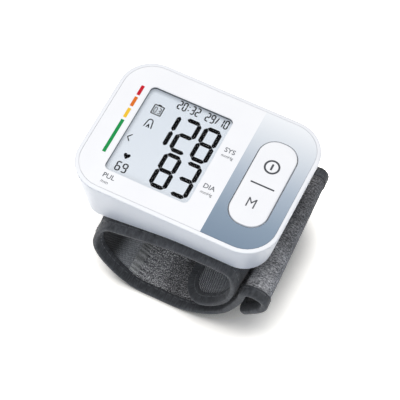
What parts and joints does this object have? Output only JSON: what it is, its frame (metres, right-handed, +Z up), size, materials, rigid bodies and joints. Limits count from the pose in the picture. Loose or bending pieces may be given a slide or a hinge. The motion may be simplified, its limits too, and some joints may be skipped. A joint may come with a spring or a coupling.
{
  "type": "wrist blood pressure monitor",
  "caption": "Wrist blood pressure monitor: a leaning-walled housing with a large display and a rocker key, seated on a preformed padded cuff whose strap end is folded back as a roll.",
  "frame": {"origin": "on the table, on the flat sole of the strap, under the middle of the housing", "axes": "+X to the right of the display, +Y towards its upper edge and away from the reader, +Z up, out of the face"},
  "size_m": [0.0853, 0.064, 0.0675],
  "materials": {
    "white_plastic": "satin white moulding",
    "printed_panel": "smooth printed film, white with a blue-grey shaded field",
    "dark_rubber": "matt dark grey",
    "clear_pane": "clear polished",
    "display_grey": "pale grey display with dark digits",
    "pale_rubber": "matt pale silicone",
    "board_green": "green circuit board",
    "black_plastic": "matt black",
    "steel": "bare metal",
    "cell_jacket": "printed metal jacket",
    "dark_fabric": "dark woven cover",
    "mesh_fabric": "fine ribbed mesh",
    "mottled_pile": "mottled grey brushed loop pile",
    "dark_binding": "smooth woven edge tape"
  },
  "bodies": {
    "monitor": {"front_shell": "white_plastic", "rear_cover": "white_plastic", "case_screw_1": "steel", "case_screw_2": "steel", "case_screw_3": "steel", "case_screw_4": "steel", "face_panel": "printed_panel", "display_gasket": "dark_rubber", "display_window": "clear_pane", "display_cell": "display_grey", "display_holder": "white_plastic", "contact_strip_upper": "pale_rubber", "contact_strip_lower": "pale_rubber", "main_board": "board_green", "processor_chip": "black_plastic", "pressure_sensor": "black_plastic", "key_pivot_pin": "steel", "key_cradle": "white_plastic", "power_switch": "black_plastic", "memory_switch": "black_plastic", "pump_motor": "steel", "pump_head": "white_plastic", "air_manifold": "dark_rubber", "exhaust_valve": "black_plastic", "sensor_hose": "pale_rubber", "air_nipple": "white_plastic", "battery_tray": "white_plastic", "battery_cell_1": "cell_jacket", "contact_spring_1": "steel", "battery_cell_2": "cell_jacket", "contact_spring_2": "steel", "contact_link": "steel", "contact_plate_minus": "steel", "contact_plate_plus": "steel", "cuff_cover": "dark_fabric", "cuff_stiffener": "black_plastic", "air_bladder": "dark_rubber", "cuff_lining": "mesh_fabric", "cuff_binding": "dark_binding", "strap_web": "mottled_pile", "strap_binding_front": "dark_binding", "strap_binding_rear": "dark_binding", "loop_patch": "mottled_pile"},
    "key": {"rocker_key": "white_plastic"},
    "door": {"battery_door": "white_plastic"},
    "crank": {"pump_crank": "steel"},
    "free_end": {"strap_flap": "mottled_pile", "flap_binding": "dark_binding", "hook_patch": "black_plastic"}
  },
  "joints": [
    {"name": "key_rock", "type": "hinge", "parent": "monitor", "child": "key", "pos_m": [0.027, -0.0003, 0.0624], "axis": [1, 0, 0], "range_deg": [-2, 2], "stiffness_Nm_per_rad": 0.3},
    {"name": "door_slide", "type": "slide", "parent": "monitor", "child": "door", "axis": [-1, 0, 0], "range_m": [0, 0.03]},
    {"name": "crank_spin", "type": "hinge", "parent": "monitor", "child": "crank", "pos_m": [0.0131, -0.003, 0.05779], "axis": [0, 1, 0], "continuous": true},
    {"name": "free_end_lift", "type": "hinge", "parent": "monitor", "child": "free_end", "pos_m": [0.039, 0.001, 0.03865], "axis": [0, -1, 0], "range_deg": [0, 110]}
  ]
}
